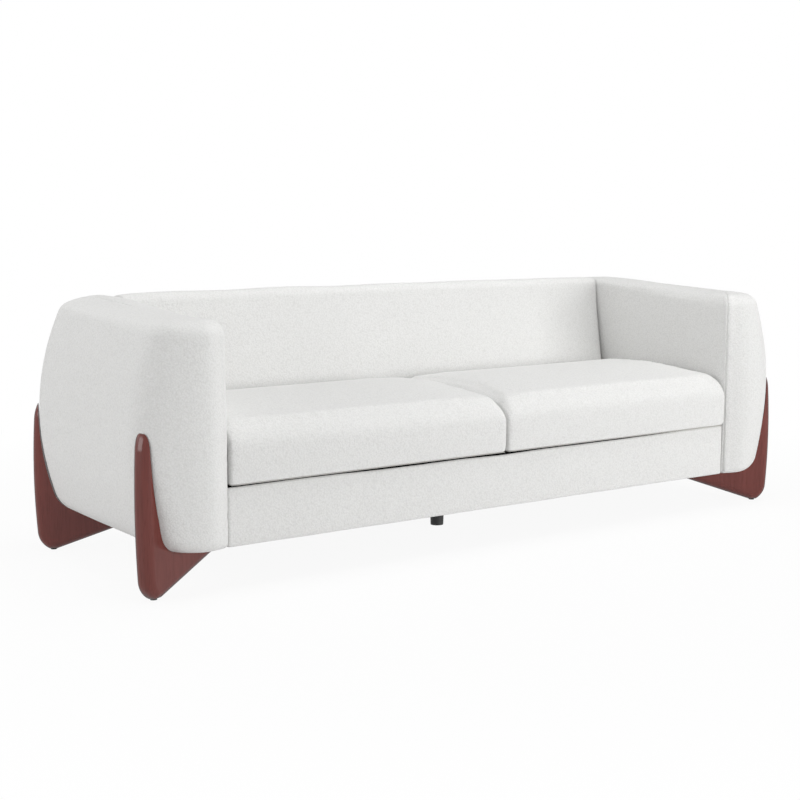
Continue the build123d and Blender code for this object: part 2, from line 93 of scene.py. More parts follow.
def tubeFaces(rows, columns):
    # quads between neighbouring rows that each close on themselves, and one face over each end row
    index = np.arange(rows * columns).reshape(rows, columns)
    following = np.roll(index, -1, axis=1)
    quads = np.stack([index[:-1], following[:-1], following[1:], index[1:]], axis=-1).reshape(-1, 4)
    return quads.tolist() + [index[0][::-1].tolist(), index[-1].tolist()]


def gridNormals(grid):
    # unit normals of a grid of points: the cross product of its two directions
    across = np.roll(grid, -1, axis=1) - np.roll(grid, 1, axis=1)
    along = np.gradient(grid, axis=0)
    normal = np.cross(across, along)
    return normal / np.maximum(np.linalg.norm(normal, axis=2, keepdims=True), 1e-12)


def arcPoints(centre, radius, start, end, count):
    # points on an arc between two angles
    angle = np.linspace(start, end, count)
    return np.stack([centre[0] + radius * np.cos(angle), centre[1] + radius * np.sin(angle)], axis=1)


def softWaves(points, size, seed, count=7):
    # a sum of sine waves with random directions and phases, between about -1 and 1
    draw = np.random.default_rng(seed)
    direction = draw.normal(size=(count, 3))
    direction /= np.linalg.norm(direction, axis=1, keepdims=True)
    length = size * draw.uniform(0.7, 1.6, count)
    phase = draw.uniform(0, 2 * math.pi, count)
    waves = np.sin(points @ direction.T * (2 * math.pi / length) + phase)
    return waves.sum(axis=-1) / math.sqrt(count)


def ramp(value, start, width):
    # 0 up to the start, then evenly to 1 over a width
    return np.clip((value - start) / width, 0, 1)


def ease(value, low, high):
    # 0 at low and 1 at high along the curve t * t * (3 - 2 * t)
    t = np.clip((value - low) / (high - low), 0, 1)
    return t * t * (3 - 2 * t)


def roundedOutline(corners, radii, step, arcSteps=24):
    # a closed outline through the corners, each rounded by its own arc, with points about a step apart
    corners = np.array(corners, float)
    ahead = np.roll(corners, -1, axis=0) - corners
    ahead /= np.linalg.norm(ahead, axis=1, keepdims=True)
    behind = -np.roll(ahead, 1, axis=0)
    runs = []
    for corner, onward, rearward, radius in zip(corners, ahead, behind, radii):
        half = math.acos(float(np.clip(onward @ rearward, -1, 1))) / 2
        reach = radius / math.tan(half)
        middle = (onward + rearward) / np.linalg.norm(onward + rearward)
        centre = corner + middle * radius / math.sin(half)
        first, last = corner + rearward * reach - centre, corner + onward * reach - centre
        start = math.atan2(first[1], first[0])
        turn = (math.atan2(last[1], last[0]) - start + math.pi) % (2 * math.pi) - math.pi
        runs.append(arcPoints(centre, radius, start, start + turn, arcSteps))
    loop = np.concatenate(runs)
    loop = np.concatenate([loop, loop[:1]])
    length = np.concatenate([[0], np.cumsum(np.linalg.norm(np.diff(loop, axis=0), axis=1))])
    even = np.linspace(0, length[-1], int(length[-1] / step) + 1)[:-1]
    return np.stack([np.interp(even, length, loop[:, 0]), np.interp(even, length, loop[:, 1])], axis=1)


def outlineNormals(loop):
    # outward unit normals of an outline that runs anticlockwise
    tangent = np.roll(loop, -1, axis=0) - np.roll(loop, 1, axis=0)
    tangent /= np.linalg.norm(tangent, axis=1, keepdims=True)
    return np.stack([tangent[:, 1], -tangent[:, 0]], axis=1)


def stationsAlong(start, end, step, fine, reach):
    # positions from start to end, fine near both ends and a step apart between them
    near = np.arange(0, reach, fine)
    middle = np.linspace(start + reach, end - reach, int((end - start - 2 * reach) / step) + 2)
    return np.concatenate([start + near, middle, (end - near)[::-1]])


def endInset(gap, radius):
    # how far an outline shrinks at a distance from the end of a pad whose end edge is an arc
    inside = np.clip(radius - gap, 0, radius)
    return radius - np.sqrt(np.maximum(radius**2 - inside**2, 0))


def carryAlong(stations, loop, outward, shrink):
    # the outline at every station, each shrunk along its normals, and those normals in three dimensions
    grid = np.zeros((len(stations), len(loop), 3))
    grid[..., 0] = stations[:, None]
    grid[..., 1:] = loop[None] - outward[None] * shrink[..., None]
    return grid, np.concatenate([np.zeros((len(loop), 1)), outward], axis=1)[None]


camera = dict(place=(-2.63126, -3.60542, 0.98412), turn=-34.91, tilt=82.39, lens=64.99, sensor=36, far=60)

cameraData = bpy.data.cameras.new("camera")
cameraData.lens = camera["lens"]
cameraData.sensor_width = camera["sensor"]
cameraData.clip_end = camera["far"]
cameraObject = bpy.data.objects.new("camera", cameraData)
cameraObject.location = camera["place"]
cameraObject.rotation_euler = (math.radians(camera["tilt"]), 0, math.radians(camera["turn"]))
scene.collection.objects.link(cameraObject)
scene.camera = cameraObject

lamps = {
    "frontSoftbox": dict(place=(2.2, -5.2, 0.9), target=(0.2, 0, 0.4), size=(2.4, 1.4), watts=140),
    "leftSoftbox": dict(place=(-5.2, 0.2, 1.4), target=(-0.6, 0, 0.4), size=(2.4, 2.0), watts=62),
    "rearLeftSoftbox": dict(place=(-4.6, 3.2, 2.2), target=(-0.6, 0, 0.4), size=(2.4, 2.0), watts=18),
    "topSoftbox": dict(place=(0.2, -0.4, 4.4), target=(0.2, 0, 0.4), size=(4.0, 2.4), watts=106),
}

for name, lamp in lamps.items():
    light = bpy.data.lights.new(name, "AREA")
    light.shape = "RECTANGLE"
    light.size, light.size_y = lamp["size"]
    light.energy = lamp["watts"]
    holder = bpy.data.objects.new(name, light)
    holder.location = lamp["place"]
    aim = Vector(lamp["target"]) - Vector(lamp["place"])
    holder.rotation_euler = aim.to_track_quat("-Z", "Y").to_euler()
    scene.collection.objects.link(holder)

scene.view_settings.view_transform = "Standard"


def newGroup(name, inputs, outputs):
    # a shader node group with named sockets; inputs is {name: default}
    group = bpy.data.node_groups.new(name, "ShaderNodeTree")
    for label, value in inputs.items():
        kind = "NodeSocketColor" if isinstance(value, tuple) else "NodeSocketFloat"
        group.interface.new_socket(label, in_out="INPUT", socket_type=kind).default_value = value
    for label in outputs:
        kind = {"Color": "NodeSocketColor", "Normal": "NodeSocketVector"}.get(label, "NodeSocketFloat")
        group.interface.new_socket(label, in_out="OUTPUT", socket_type=kind)
    return group, group.nodes.new("NodeGroupInput").outputs


def putOut(group, **values):
    # the group's results, linked to its output sockets
    leave = group.nodes.new("NodeGroupOutput")
    for label, value in values.items():
        group.links.new(value, leave.inputs[label])
    return group


def newNode(tree, kind, inputs, **settings):
    # a node and its outputs: a number or a colour is set on an input, and another node's output is linked to it
    node = tree.nodes.new("ShaderNode" + kind)
    for label, value in settings.items():
        setattr(node, label, value)
    for place, value in inputs.items():
        if isinstance(value, (int, float, tuple)):
            node.inputs[place].default_value = value
        else:
            tree.links.new(value, node.inputs[place])
    return node.outputs


def mathNode(tree, operation, *values, clamp=False):
    return newNode(tree, "Math", dict(enumerate(values)), operation=operation, use_clamp=clamp)[0]


def times(tree, first, second):
    return mathNode(tree, "MULTIPLY", first, second)


def mixColour(tree, factor, first, second):
    # a Mix node has its colour inputs at 6 and 7 and its colour output at 2
    return newNode(tree, "Mix", {0: factor, 6: first, 7: second}, data_type="RGBA")[2]


def objectPoint(tree, stretch=(1, 1, 1)):
    # Object coordinates, stretched along each axis
    point = newNode(tree, "TexCoord", {})["Object"]
    return newNode(tree, "Mapping", {"Vector": point, "Scale": stretch})["Vector"]


def noiseNode(tree, vector, scale, detail=2.0, roughness=0.5, distortion=0.0):
    given = {"Vector": vector, "Scale": scale, "Detail": detail, "Roughness": roughness, "Distortion": distortion}
    return newNode(tree, "TexNoise", given)["Fac"]


def rangeNode(tree, value, low, high, outLow, outHigh, smooth=False):
    # low to high becomes outLow to outHigh, evenly or along a smooth step
    given = {"Value": value, "From Min": low, "From Max": high, "To Min": outLow, "To Max": outHigh}
    return newNode(tree, "MapRange", given, interpolation_type="SMOOTHSTEP" if smooth else "LINEAR")["Result"]


def seenDirectly(tree):
    # 1 for rays from the camera, or seen in gloss or through glass
    path = newNode(tree, "LightPath", {})
    gloss = mathNode(tree, "MAXIMUM", path["Is Camera Ray"], path["Is Glossy Ray"])
    return mathNode(tree, "MAXIMUM", gloss, path["Is Transmission Ray"])


surroundings = dict(
    ambient=0.30, floorColour=(0.86, 0.86, 0.86, 1), floorSize=14,
    whiteShare=0.93, fadeStart=1.1, fadeEnd=2.6,  # the floor turns wholly white between these distances
)

world = bpy.data.worlds.new("studio")
scene.world = world
world.use_nodes = True
tree = world.node_tree
background = tree.nodes["Background"]
background.inputs["Color"].default_value = (1, 1, 1, 1)
strength = rangeNode(tree, seenDirectly(tree), 0.0, 1.0, surroundings["ambient"], 1.0)
tree.links.new(strength, background.inputs["Strength"])

floorMaterial = bpy.data.materials.new("paleFloor")
floorMaterial.use_nodes = True
tree = floorMaterial.node_tree
tree.nodes.clear()
diffuse = newNode(tree, "BsdfDiffuse", {"Color": surroundings["floorColour"]})[0]
white = newNode(tree, "Emission", {})[0]
away = newNode(tree, "VectorMath", {0: objectPoint(tree)}, operation="LENGTH")["Value"]
share = rangeNode(
    tree, away, surroundings["fadeStart"], surroundings["fadeEnd"], surroundings["whiteShare"], 1.0, smooth=True)
share = times(tree, seenDirectly(tree), share)
mix = newNode(tree, "MixShader", {0: share, 1: diffuse, 2: white})[0]
newNode(tree, "OutputMaterial", {"Surface": mix})

reach = surroundings["floorSize"]
floorCorners = [(-reach, -reach, 0), (reach, -reach, 0), (reach, reach, 0), (-reach, reach, 0)]
floorMesh = bpy.data.meshes.new("floor")
floorMesh.from_pydata(floorCorners, [], [(0, 1, 2, 3)])
floor = bpy.data.objects.new("floor", floorMesh)
scene.collection.objects.link(floor)
floorMesh.materials.append(floorMaterial)
print("camera, lamps and floor placed")


yarn = dict(
    wander=130, wanderReach=0.006,  # noise that pushes the loops about: places a metre, and how far
    roundness=0.35, fibres=900, clumps=62, bump=0.5,
    fibreHeight=0.25, clumpHeight=0.55, sewnDepth=1.6,  # shares of a loop's height
    loopTone=0.85, clumpTone=0.25, grooveShadeTone=0.55,  # shares of the way from dark to light; the groove's share is painted shade
)


def buildBoucle():
    # looped yarn: rounded cells pushed about by noise, with clumps of loops, and a sewn groove, darkened by painted
    # shade, where the nearness to a seam rises to 1
    group, given = newGroup(
        "boucleYarn",
        {"Light": (0.8, 0.79, 0.76, 1), "Dark": (0.6, 0.59, 0.56, 1), "Loops Per Metre": 210.0, "Depth": 0.0016},
        ("Color", "Normal"))
    point = objectPoint(group)
    wander = newNode(group, "TexNoise", {"Vector": point, "Scale": yarn["wander"], "Detail": 1})["Color"]
    shift = {0: wander, 1: (yarn["wanderReach"],) * 3, 2: point}
    place = newNode(group, "VectorMath", shift, operation="MULTIPLY_ADD")[0]
    loops = {"Vector": place, "Scale": given["Loops Per Metre"], "Smoothness": yarn["roundness"]}
    distance = newNode(group, "TexVoronoi", loops, feature="SMOOTH_F1")["Distance"]
    mound = mathNode(group, "SUBTRACT", 1.0, distance, clamp=True)
    fibre = noiseNode(group, point, yarn["fibres"], detail=2, roughness=0.6)
    clump = noiseNode(group, point, yarn["clumps"], detail=2, roughness=0.55)
    height = mathNode(group, "ADD", mound, times(group, fibre, yarn["fibreHeight"]))
    height = mathNode(group, "ADD", height, times(group, clump, yarn["clumpHeight"]))
    seam = newNode(group, "Attribute", {}, attribute_name="seamNearness")["Fac"]
    sewn = rangeNode(group, seam, 0.0, 1.0, 0.0, 1.0, smooth=True)
    height = mathNode(group, "SUBTRACT", height, times(group, sewn, yarn["sewnDepth"]))
    clumped = times(group, clump, yarn["clumpTone"])
    tone = mathNode(group, "MULTIPLY_ADD", mound, yarn["loopTone"], clumped, clamp=True)
    # painted shade darkens the colour in the sewn groove
    tone = mathNode(group, "SUBTRACT", tone, times(group, sewn, yarn["grooveShadeTone"]), clamp=True)
    colour = mixColour(group, tone, given["Dark"], given["Light"])
    bump = {"Strength": yarn["bump"], "Distance": given["Depth"], "Height": height}
    return putOut(group, Color=colour, Normal=newNode(group, "Bump", bump)["Normal"])


timber = dict(
    stretch=0.07, finer=7.0,  # the grain is this long, and its streaks are this much finer
    cloudSize=6, cloudTone=(0.5, -0.32), bandTone=0.75, streakTone=0.35,
    poreRange=(0.34, 0.42), roughness=(0.16, 0.24), streakHeight=0.4,
)


def buildGrain():
    # straight wood grain: noise stretched along the piece's height, fine pores and slow colour bands
    group, given = newGroup(
        "woodGrain",
        {"Light": (0.3, 0.15, 0.1, 1), "Dark": (0.15, 0.07, 0.05, 1), "Fineness": 60.0, "Pores": 0.3},
        ("Color", "Roughness", "Height"))
    point = objectPoint(group, (1, 1, timber["stretch"]))
    bands = noiseNode(group, point, given["Fineness"], detail=4, roughness=0.6, distortion=0.6)
    streaks = noiseNode(group, point, times(group, given["Fineness"], timber["finer"]), detail=2)
    cloud = noiseNode(group, objectPoint(group), timber["cloudSize"], detail=2)
    tone = mathNode(group, "MULTIPLY_ADD", streaks, timber["streakTone"], times(group, bands, timber["bandTone"]))
    tone = mathNode(group, "ADD", tone, mathNode(group, "MULTIPLY_ADD", cloud, *timber["cloudTone"]), clamp=True)
    pore = times(group, rangeNode(group, streaks, *timber["poreRange"], 1.0, 0.0), given["Pores"])
    colour = mixColour(group, tone, given["Dark"], given["Light"])
    rough = mathNode(group, "MULTIPLY_ADD", streaks, *timber["roughness"])
    height = mathNode(group, "SUBTRACT", times(group, streaks, timber["streakHeight"]), pore)
    return putOut(group, Color=mixColour(group, pore, colour, given["Dark"]), Roughness=rough, Height=height)


def buildWeave():
    # plain weave: two sets of threads that pass over each other in turn
    group, given = newGroup(
        "plainWeave",
        {"Thread": (0.5, 0.5, 0.5, 1), "Gap": (0.2, 0.2, 0.2, 1), "Threads Per Metre": 700.0},
        ("Color", "Height"))
    axes = newNode(group, "SeparateXYZ", {0: objectPoint(group)})
    pace = times(group, given["Threads Per Metre"], math.pi)
    upright = mathNode(group, "ADD", axes["Y"], axes["Z"])
    warp, weft = (
        mathNode(group, "ABSOLUTE", mathNode(group, "SINE", times(group, way, pace)))
        for way in (axes["X"], upright))
    height = mathNode(group, "MAXIMUM", warp, weft)
    lint = noiseNode(group, objectPoint(group), 240, detail=3)
    tone = mathNode(group, "MULTIPLY", height, mathNode(group, "MULTIPLY_ADD", lint, 0.5, 0.7), clamp=True)
    return putOut(group, Color=mixColour(group, tone, given["Gap"], given["Thread"]), Height=height)


def buildMottle():
    # small cells and noise for foam, felt, moulded plastic and zinc plate
    group, given = newGroup(
        "mottle",
        {"Base": (0.5, 0.5, 0.5, 1), "Fleck": (0.4, 0.4, 0.4, 1), "Cells Per Metre": 400.0, "Roughness": 0.6},
        ("Color", "Roughness", "Height"))
    point = objectPoint(group)
    distance = newNode(group, "TexVoronoi", {"Vector": point, "Scale": given["Cells Per Metre"]})["Distance"]
    cloud = noiseNode(group, point, 55, detail=3)
    tone = mathNode(group, "MULTIPLY_ADD", distance, 0.7, times(group, cloud, 0.4), clamp=True)
    lowest = mathNode(group, "SUBTRACT", given["Roughness"], 0.1)
    rough = mathNode(group, "MULTIPLY_ADD", cloud, 0.2, lowest, clamp=True)
    return putOut(
        group, Color=mixColour(group, tone, given["Base"], given["Fleck"]), Roughness=rough, Height=distance)


paintedReflectionFacing = (0.42, 0.9)  # the painted dark reflection on the rims sets in and is full at these shares of turning away
groups = {"boucle": buildBoucle(), "grain": buildGrain(), "weave": buildWeave(), "mottle": buildMottle()}


def finishMaterial(name, groupName, values, shader, bumpStrength=0.3, bumpDistance=0.0004, rim=None):
    # a placed group, with values in the order of its inputs, feeds the Principled shader; a rim colour paints a dark
    # reflection onto polished wood, and its coat is dulled, where the surface turns away
    material = bpy.data.materials.new(name)
    material.use_nodes = True
    tree = material.node_tree
    principled = tree.nodes["Principled BSDF"]
    for label, value in shader.items():
        principled.inputs[label].default_value = value
    placed = tree.nodes.new("ShaderNodeGroup")
    placed.node_tree = groups[groupName]
    for socket, value in zip(placed.inputs, values):
        socket.default_value = (*value, 1) if isinstance(value, tuple) else value
    colour = placed.outputs["Color"]
    if rim:
        facing = newNode(tree, "LayerWeight", {})["Facing"]
        paintedReflectionShare = rangeNode(tree, facing, *paintedReflectionFacing, 0.0, 1.0, smooth=True)
        # painted dark reflection: the colour darkens towards the rim colour where the surface turns away
        colour = mixColour(tree, paintedReflectionShare, colour, (*rim, 1))
        coat = rangeNode(tree, paintedReflectionShare, 0.0, 1.0, shader["Coat Weight"], 0.0)
        tree.links.new(coat, principled.inputs["Coat Weight"])
    tree.links.new(colour, principled.inputs["Base Color"])
    for label in ("Roughness", "Normal"):
        if label in placed.outputs:
            tree.links.new(placed.outputs[label], principled.inputs[label])
    if "Height" in placed.outputs:
        bump = {"Strength": bumpStrength, "Distance": bumpDistance, "Height": placed.outputs["Height"]}
        tree.links.new(newNode(tree, "Bump", bump)["Normal"], principled.inputs["Normal"])
    return material


soft = {"Roughness": 0.95, "Specular IOR Level": 0.2, "Sheen Weight": 0.25, "Sheen Roughness": 0.6}
cloth = {"Roughness": 0.9, "Specular IOR Level": 0.25}
matt = {"Roughness": 1.0, "Specular IOR Level": 0.0}
polish = {"Coat Weight": 0.6, "Coat Roughness": 0.12, "Specular IOR Level": 0.06}
sawn = {"Specular IOR Level": 0.3}
metal = {"Metallic": 1.0}

# each slot's finish: name, group, values, shader and, where they aren't the usual ones, bump strength, bump distance
# and rim colour, which is painted dark reflection
finishRows = {
    # light, dark
    "boucle_fabric": ("offWhiteBoucle", "boucle", ((0.83, 0.83, 0.82), (0.69, 0.688, 0.675)), soft),
    # thread, gap, threads per metre
    "lining_fabric": ("liningCloth", "weave", ((0.62, 0.61, 0.58), (0.4, 0.39, 0.36), 900.0), cloth),
    "black_cloth": ("blackNonWoven", "weave", ((0.012, 0.012, 0.013), (0.005, 0.005, 0.005), 320.0), matt),
    "webbing": ("juteWebbing", "weave", ((0.3, 0.2, 0.1), (0.1, 0.06, 0.03), 300.0), cloth, 0.5, 0.001),
    # base, fleck, cells per metre, roughness
    "felt": ("greyFelt", "mottle", ((0.3, 0.29, 0.27), (0.2, 0.2, 0.19), 500.0, 0.95), cloth),
    "foam": ("openCellFoam", "mottle", ((0.78, 0.72, 0.5), (0.6, 0.52, 0.32), 700.0, 0.9), cloth),
    "black_plastic": (
        "blackPlastic", "mottle", ((0.012, 0.012, 0.012), (0.02, 0.02, 0.02), 1500.0, 0.5), {}, 0.3, 0.0002),
    "clip_plastic": ("paleClipPlastic", "mottle", ((0.7, 0.7, 0.67), (0.62, 0.62, 0.6), 1500.0, 0.5), {}),
    "spring_steel": ("springWire", "mottle", ((0.25, 0.25, 0.26), (0.16, 0.15, 0.15), 900.0, 0.4), metal),
    "zinc_steel": ("zincPlate", "mottle", ((0.56, 0.57, 0.6), (0.42, 0.43, 0.46), 300.0, 0.35), metal),
    # light, dark, fineness, pores
    "walnut": (
        "redBrownWood", "grain", ((0.208, 0.049, 0.04), (0.1, 0.019, 0.0135), 45.0, 0.35), polish, 0.25, 0.0003,
        # rim colour: painted dark reflection where the leg turns away
        (0.03, 0.006, 0.005)),
    "board": ("brownHardboard", "grain", ((0.42, 0.26, 0.13), (0.3, 0.18, 0.09), 120.0, 0.1), sawn),
    "frame_timber": ("palePine", "grain", ((0.62, 0.43, 0.22), (0.42, 0.26, 0.12), 38.0, 0.15), sawn),
}

finishes = {slot: finishMaterial(*row) for slot, row in finishRows.items()}
slotOf = {part["node"]: part["material_slot"] for part in frame["record"]["subparts"]}
for name, node in nodes.items():
    node.data.materials.clear()
    node.data.materials.append(finishes[slotOf[name]])


def dress(piece, slotName, *replaced):
    # the piece's material, its slot in the record, and the CAD nodes it stands for
    piece.data.materials.clear()
    piece.data.materials.append(finishes[slotName])
    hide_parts(*replaced)


print("materials built:", len(finishes))


profileSteps = dict(bottom=12, hem=18, bulge=74, shoulder=16, crown=20)  # points on each stretch

arm = dict(
    noseRadius=0.150, noseDepth=0.137,  # plan half-width and half-depth of the front roll
    seamInset=0.016,  # how far the roll is drawn in at its seam with the inner panel
    fullTurn=95, seamTurn=130, shareTurn=131,  # degrees round the roll, counted from the outer side
    cornerRadius=0.165,  # plan radius of the rear corner
    frontDrop=0.025,  # the top is this much lower at the front
    seamReach=0.126,  # from the middle of the roll to its seam
    halfWidth=0.149,  # how far a side profile reaches inwards
    panelGap=0.0005, seamGap=0.001,  # how far the front roll and the seam's profile stop short of the inner panel
    # ring points on each stretch, about a millimetre apart, and points tried on the roll to find its seam
    samples=dict(nose=330, side=558, corner=260, tail=73, panel=846), trials=1441,
    sharePower=1.4,  # how the section changes round the roll
    creaseSpread=6,  # how softly the front roll turns into the inner panel, in millimetres
    kept=dict(crease=18, creaseStep=2, beside=40, besideStep=4, evenStep=7),  # points kept, counted from the crease
    ringStep=0.001,
    wallRows=(14, 10, 8, 12),  # rows without sewing and rows until it is full, at the bottom and at the top
    grooveDepth=0.0016, grooveWidth=0.0035,
    puff=(0.0012, 0.016, 0.010),  # the swelling beside the seam: height, place and width
    ripple=(0.0007, 0.020, 0.014, 3),  # its puckers: height, size, reach and seed
    unevenness=0.0011, waveSize=0.24, waveSeeds=(11, 12),
    innerBand=0.004, innerShare=0.35,  # the inner panel is this much flatter
    outer=dict(bulgeRadius=0.745, bulgeHeight=0.398, shoulderDrop=0.017, shoulderRadius=0.055, hemRadius=0.080),
    rear=dict(bulgeRadius=0.745, bulgeHeight=0.398, shoulderDrop=0.025, shoulderRadius=0.047, hemRadius=0.080),
    seam=dict(bulgeRadius=30, bulgeHeight=0.398, shoulderDrop=0.010, shoulderRadius=0.045, hemRadius=0.016),
    inner=dict(bulgeRadius=30, bulgeHeight=0.398, shoulderDrop=0.004, shoulderRadius=0.024, hemRadius=0.006),
)


def sideReach(height, form):
    # how far inwards the long bulge lies at a height: an arc's x, measured from its foremost point
    return math.sqrt(form["bulgeRadius"] ** 2 - (height - form["bulgeHeight"]) ** 2) - form["bulgeRadius"]


def sideProfile(top, underside, apex, span, form):
    # the padded side from underneath, round the hem, up the long bulge, over the shoulder and along the crown:
    # five arcs and lines that run into each other; x is 0 at the bulge and negative inwards
    big, hem, shoulder = form["bulgeRadius"], form["hemRadius"], form["shoulderRadius"]
    bulge = np.array([-big, form["bulgeHeight"]])
    hemHeight = underside + hem
    hemCentre = np.array([-big + math.sqrt((big - hem) ** 2 - (hemHeight - bulge[1]) ** 2), hemHeight])
    edge = top - form["shoulderDrop"]
    run = apex + sideReach(edge, form)
    crownRadius = (run**2 + form["shoulderDrop"] ** 2) / (2 * form["shoulderDrop"])
    crown = np.array([-apex, top - crownRadius])
    apart = crown - bulge
    distance = np.linalg.norm(apart)
    along = ((big - shoulder) ** 2 - (crownRadius - shoulder) ** 2 + distance**2) / (2 * distance)
    aside = math.sqrt((big - shoulder) ** 2 - along**2)
    unit = apart / distance
    shoulderCentre = bulge + along * unit + aside * np.array([-unit[1], unit[0]])

    def angle(origin, point):
        return math.atan2(point[1] - origin[1], point[0] - origin[0])

    low, high = angle(bulge, hemCentre), angle(bulge, shoulderCentre)
    turn = angle(crown, shoulderCentre)
    last = math.acos((apex - span) / crownRadius)
    steps = profileSteps
    bottom = np.linspace(-span, hemCentre[0], steps["bottom"])
    return np.concatenate([
        np.stack([bottom, np.full(len(bottom), underside)], axis=1),
        arcPoints(hemCentre, hem, -math.pi / 2, low, steps["hem"])[1:],
        arcPoints(bulge, big, low, high, steps["bulge"])[1:],
        arcPoints(shoulderCentre, shoulder, high, turn, steps["shoulder"])[1:],
        arcPoints(crown, crownRadius, turn, last, steps["crown"])[1:],
    ])


def noseSkin(turn, outer, seam, form):
    # in plan an ellipse drawn in towards its seam; the section changes from the outer side's to the seam's with the
    # share 1 - (turn / shareTurn) ** sharePower; gives the distance from the middle and the height
    degrees = np.degrees(turn)
    plan = 1 / np.sqrt((np.cos(turn) / form["noseRadius"]) ** 2 + (np.sin(turn) / form["noseDepth"]) ** 2)
    plan = plan - form["seamInset"] * ease(degrees, form["fullTurn"], form["seamTurn"])
    share = 1 - np.clip(degrees / form["shareTurn"], 0, 1) ** form["sharePower"]
    outerPart = (1 + outer[:, :1] / form["noseRadius"]) * share
    seamPart = (1 + seam[:, :1] / form["seamReach"]) * (1 - share)
    return plan * (outerPart + seamPart), outer[:, 1:] * share + seam[:, 1:] * (1 - share)


def armRings(low, high, form):
    # each ring is the arm's plan outline at one row of the profile: front roll, outer side, rear corner, rear and
    # inner panel, softened by a running average
    noseX, noseY = high.x - form["noseRadius"], low.y + form["noseRadius"]
    cornerX, cornerY = high.x - form["cornerRadius"], high.y - form["cornerRadius"]
    innerWidth = noseX - low.x - form["panelGap"]
    frontTop, rearTop, span, seamReach = high.z - form["frontDrop"], high.z, form["halfWidth"], form["seamReach"]
    seamSpan = seamReach - form["seamGap"]
    front = sideProfile(frontTop, low.z, form["noseRadius"], span, form["outer"])
    rear = sideProfile(rearTop, low.z, form["cornerRadius"], span, form["rear"])
    seam = sideProfile(frontTop, low.z, seamReach, seamSpan, form["seam"])
    inner = sideProfile(rearTop, low.z, seamReach, seamSpan, form["inner"])
    frontIn, rearIn = -seam[:, 0] * innerWidth / seamSpan, -inner[:, 0] * innerWidth / seamSpan
    rows, samples = len(front), form["samples"]
    frontGap, rearGap = -front[:, 0], -rear[:, 0]

    # where the front roll meets the inner panel, row by row
    turns = np.linspace(0, math.pi, form["trials"])[None, :]
    x = noseX + noseSkin(turns, front, seam, form)[0] * np.cos(turns)
    target = low.x + frontIn
    first = (x <= target[:, None]).argmax(axis=1)
    index = np.arange(rows)
    before, after = x[index, first - 1], x[index, first]
    part = np.clip((before - target) / np.maximum(before - after, 1e-9), 0, 1)
    start = turns[0, first - 1] + part * (turns[0, 1] - turns[0, 0])

    def blend(count):
        return np.linspace(0, 1, count)[None, :]

    def lerp(first, second, amount):
        return first[:, None] * (1 - amount) + second[:, None] * amount

    turn = start[:, None] * (1 - blend(samples["nose"]))
    size, height = noseSkin(turn, front, seam, form)
    nose = np.stack([noseX + size * np.cos(turn), noseY - size * np.sin(turn), height], axis=2)
    amount = blend(samples["side"])[:, 1:]
    side = np.stack([
        high.x - lerp(frontGap, rearGap, amount),
        np.repeat(noseY + (cornerY - noseY) * amount, rows, axis=0),
        lerp(front[:, 1], rear[:, 1], amount),
    ], axis=2)
    angle = blend(samples["corner"])[:, 1:] * math.pi / 2
    size = (form["cornerRadius"] - rearGap)[:, None]
    corner = np.stack([
        cornerX + size * np.cos(angle),
        cornerY + size * np.sin(angle),
        np.repeat(rear[:, 1:], angle.shape[1], axis=1),
    ], axis=2)
    amount = blend(samples["tail"])[:, 1:]
    tail = np.stack([
        cornerX + (low.x + rearIn - cornerX)[:, None] * amount,
        np.repeat((high.y - rearGap)[:, None], amount.shape[1], axis=1),
        lerp(rear[:, 1], inner[:, 1], ease(amount, 0, 1)),
    ], axis=2)
    amount = blend(samples["panel"])[:, 1:-1]
    panelY = lerp(high.y - rearGap, nose[:, 0, 1], amount)
    place = ease(panelY, noseY, cornerY)
    panel = np.stack([
        low.x + frontIn[:, None] * (1 - place) + rearIn[:, None] * place,
        panelY,
        lerp(seam[:, 1], inner[:, 1], place),
    ], axis=2)
    ring = np.concatenate([nose, side, corner, tail, panel], axis=1)
    spread = form["creaseSpread"]
    offsets = np.arange(-3 * spread, 3 * spread + 1)
    weights = np.exp(-0.5 * (offsets / spread) ** 2)
    weights /= weights.sum()
    return sum(weight * np.roll(ring, int(offset), axis=1) for weight, offset in zip(weights, offsets))


def armColumns(total, kept):
    # ring points that are kept: close together beside the front crease, wider apart elsewhere
    crease, beside = kept["crease"], kept["beside"]
    near = np.concatenate([
        np.arange(-crease, crease, kept["creaseStep"]),
        np.arange(crease, beside, kept["besideStep"]),
        np.arange(-beside, -crease, kept["besideStep"]),
    ])
    even = np.arange(beside, total - beside, kept["evenStep"])
    return np.unique(np.concatenate([near % total, even]))


